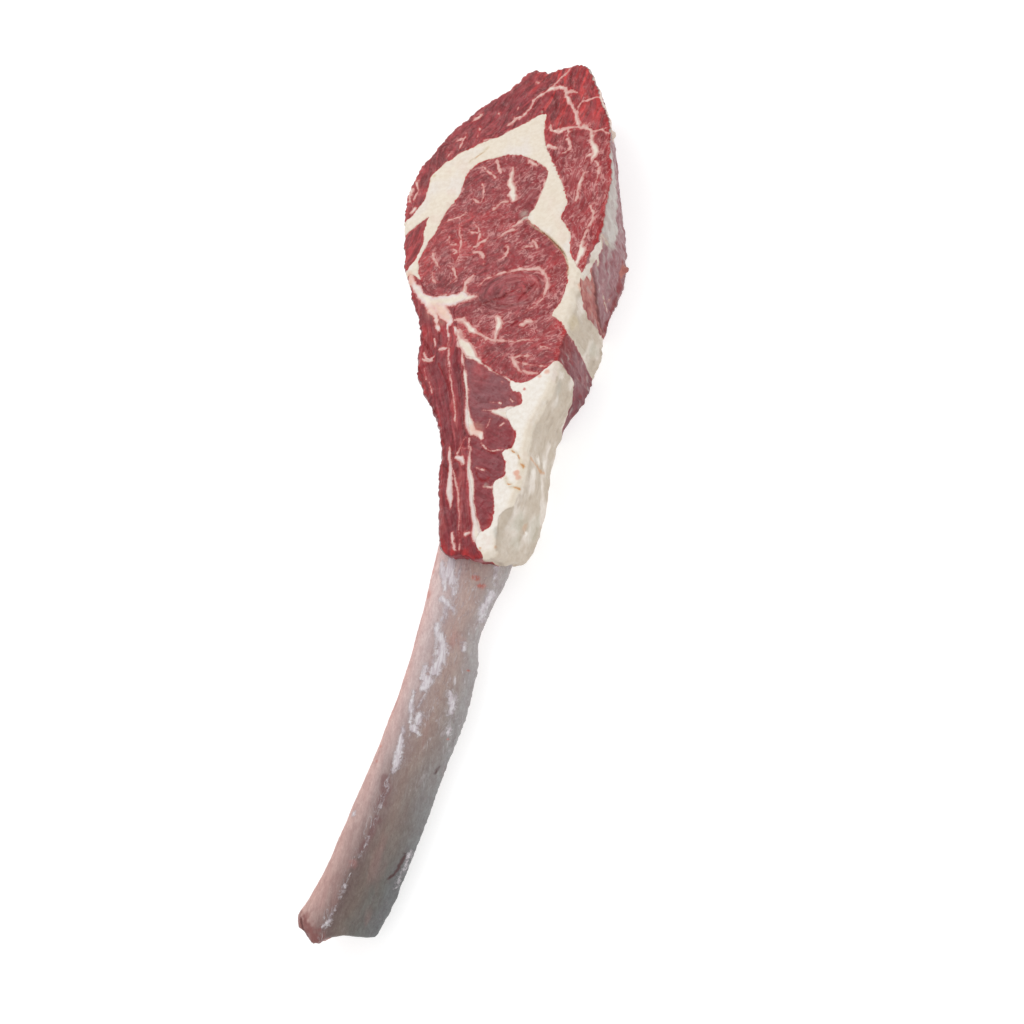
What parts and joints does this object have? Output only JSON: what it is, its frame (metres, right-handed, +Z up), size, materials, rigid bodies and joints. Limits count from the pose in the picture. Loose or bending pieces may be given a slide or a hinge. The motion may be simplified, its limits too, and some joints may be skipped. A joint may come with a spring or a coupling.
{
  "type": "raw tomahawk steak",
  "caption": "Thick raw rib-eye steak lying flat, with a long frenched rib bone, marbled eye and cap muscles, and cream seam fat.",
  "frame": {"origin": "middle of the steak's bounding box, on the surface that it lies on", "axes": "+Z up out of the cut face, +Y along the steak away from the bare bone, +X to the fat side"},
  "size_m": [0.1294, 0.4851, 0.04],
  "materials": {
    "lean": "moist red raw beef with pale marbling",
    "fat": "cream raw fat, softly satin",
    "bone": "scraped pinkish-grey rib bone with a thin moist film"
  },
  "bodies": {
    "root": {"cap_muscle": "lean", "edge_muscle": "lean", "eye_muscle": "lean", "lower_muscle": "lean", "rib_strips": "lean", "seam_fat": "fat", "fat_cap": "fat", "rib_bone": "bone"}
  },
  "joints": []
}
